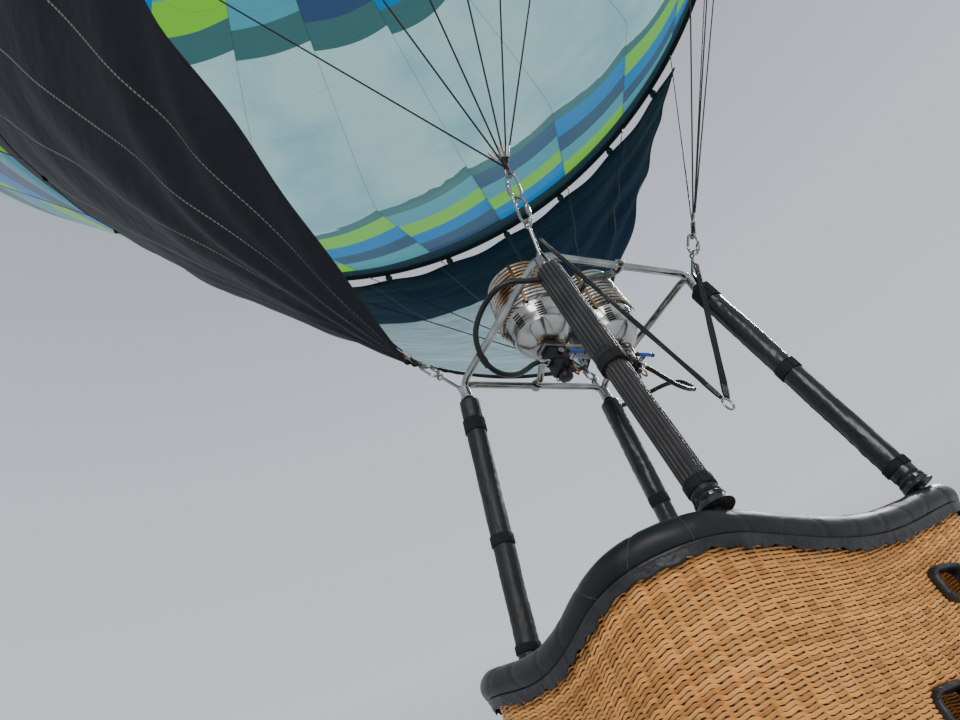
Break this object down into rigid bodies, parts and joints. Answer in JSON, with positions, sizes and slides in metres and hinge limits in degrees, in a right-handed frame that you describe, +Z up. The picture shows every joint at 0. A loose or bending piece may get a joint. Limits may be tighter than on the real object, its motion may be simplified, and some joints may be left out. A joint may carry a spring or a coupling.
{
  "type": "hot air balloon",
  "caption": "Inflated hot air balloon: gored fabric envelope with sliding crown vent, scoop, flying wires, burner frame with gimballed double burner, padded uprights and a willow basket.",
  "frame": {"origin": "centre of the envelope's widest ring, on its axis, where the air holds the balloon up", "axes": "+Z up along the envelope's axis, +X from the left burner to the right one, +Y towards the scoop"},
  "size_m": [17.0162, 17.0017, 21.541],
  "materials": {
    "envelope_fabric": "coated ripstop, pale teal with bands of lime, blues, navy and slate",
    "heatproof_fabric": "matt heat-proof cloth, navy",
    "vent_fabric": "coated ripstop, dark navy",
    "load_tape": "woven load tape and anodised ring",
    "scoop_fabric": "matt heat-proof cloth, navy and charcoal with a pale lower panel",
    "wire_cable": "brown-black sleeved steel cable, bright ferrules",
    "stainless_steel": "polished stainless tube and links",
    "strap_webbing": "woven black strap webbing",
    "hose_rubber": "black fuel hose, dull with steel couplings",
    "black_rod": "black nylon rod",
    "padded_sleeve": "black coated padding with lengthwise channels",
    "willow": "honey-tan woven willow, varnished",
    "rim_leather": "black leather, worn and creased",
    "plywood": "oiled plywood and ash",
    "cylinder_steel": "brushed stainless cylinder with padded jacket",
    "burner_steel": "bright sheet steel, slotted",
    "heated_coil": "stainless coil with brown heat tint",
    "valve_black": "black anodised block",
    "handle_blue": "blue handle"
  },
  "bodies": {
    "balloon": {"envelope_top_panels": "envelope_fabric", "envelope_side_panels": "envelope_fabric", "envelope_cone_panels": "envelope_fabric", "mouth_band": "heatproof_fabric", "mouth_hem": "heatproof_fabric", "crown_ring": "load_tape", "scoop": "scoop_fabric", "flying_wires_near_left": "wire_cable", "flying_wires_near_right": "wire_cable", "flying_wires_far_right": "wire_cable", "flying_wires_far_left": "wire_cable", "quick_link_near_left_1": "stainless_steel", "quick_link_near_left_2": "stainless_steel", "quick_link_near_right": "stainless_steel", "quick_link_far_right": "stainless_steel", "quick_link_far_left": "stainless_steel", "load_frame": "stainless_steel", "upright_rod_near_left": "black_rod", "upright_rod_near_right": "black_rod", "upright_rod_far_right": "black_rod", "upright_rod_far_left": "black_rod", "upright_sleeve_near_left": "padded_sleeve", "upright_sleeve_near_right": "padded_sleeve", "upright_sleeve_far_right": "padded_sleeve", "upright_sleeve_far_left": "padded_sleeve", "basket_wall": "willow", "rim_pad": "rim_leather", "basket_floor": "plywood", "base_band": "rim_leather", "skid_1": "plywood", "skid_2": "plywood", "skid_3": "plywood", "fuel_cylinder_near_left": "cylinder_steel", "fuel_cylinder_near_right": "cylinder_steel", "fuel_cylinder_far_right": "cylinder_steel", "fuel_cylinder_far_left": "cylinder_steel", "bridle_ring": "stainless_steel", "bridle_strap_near_left": "strap_webbing", "bridle_strap_near_right": "strap_webbing", "fuel_hose_left": "hose_rubber", "fuel_hose_right": "hose_rubber"},
    "vent": {"vent_panel": "vent_fabric"},
    "gimbal": {"gimbal_bar": "stainless_steel"},
    "burners": {"burner_bracket": "stainless_steel", "burner_can_left": "burner_steel", "burner_can_right": "burner_steel", "burner_coil_left": "heated_coil", "burner_coil_right": "heated_coil", "valve_block_left": "valve_black", "valve_block_right": "valve_black", "blast_handle_left": "handle_blue", "blast_handle_right": "handle_blue"}
  },
  "joints": [
    {"name": "vent_slide", "type": "slide", "parent": "balloon", "child": "vent", "axis": [0, 0, 1], "range_m": [-1, 0], "stiffness_N_per_m": 250, "springref_m": 0.6},
    {"name": "gimbal_roll", "type": "hinge", "parent": "balloon", "child": "gimbal", "pos_m": [0, 0, -12.602], "axis": [0, 1, 0], "range_deg": [-12, 12], "deforming": ["fuel_hose_left", "fuel_hose_right"]},
    {"name": "burner_pitch", "type": "hinge", "parent": "gimbal", "child": "burners", "pos_m": [0, 0, -12.602], "axis": [1, 0, 0], "range_deg": [-12, 12], "deforming": ["fuel_hose_left", "fuel_hose_right"]}
  ]
}
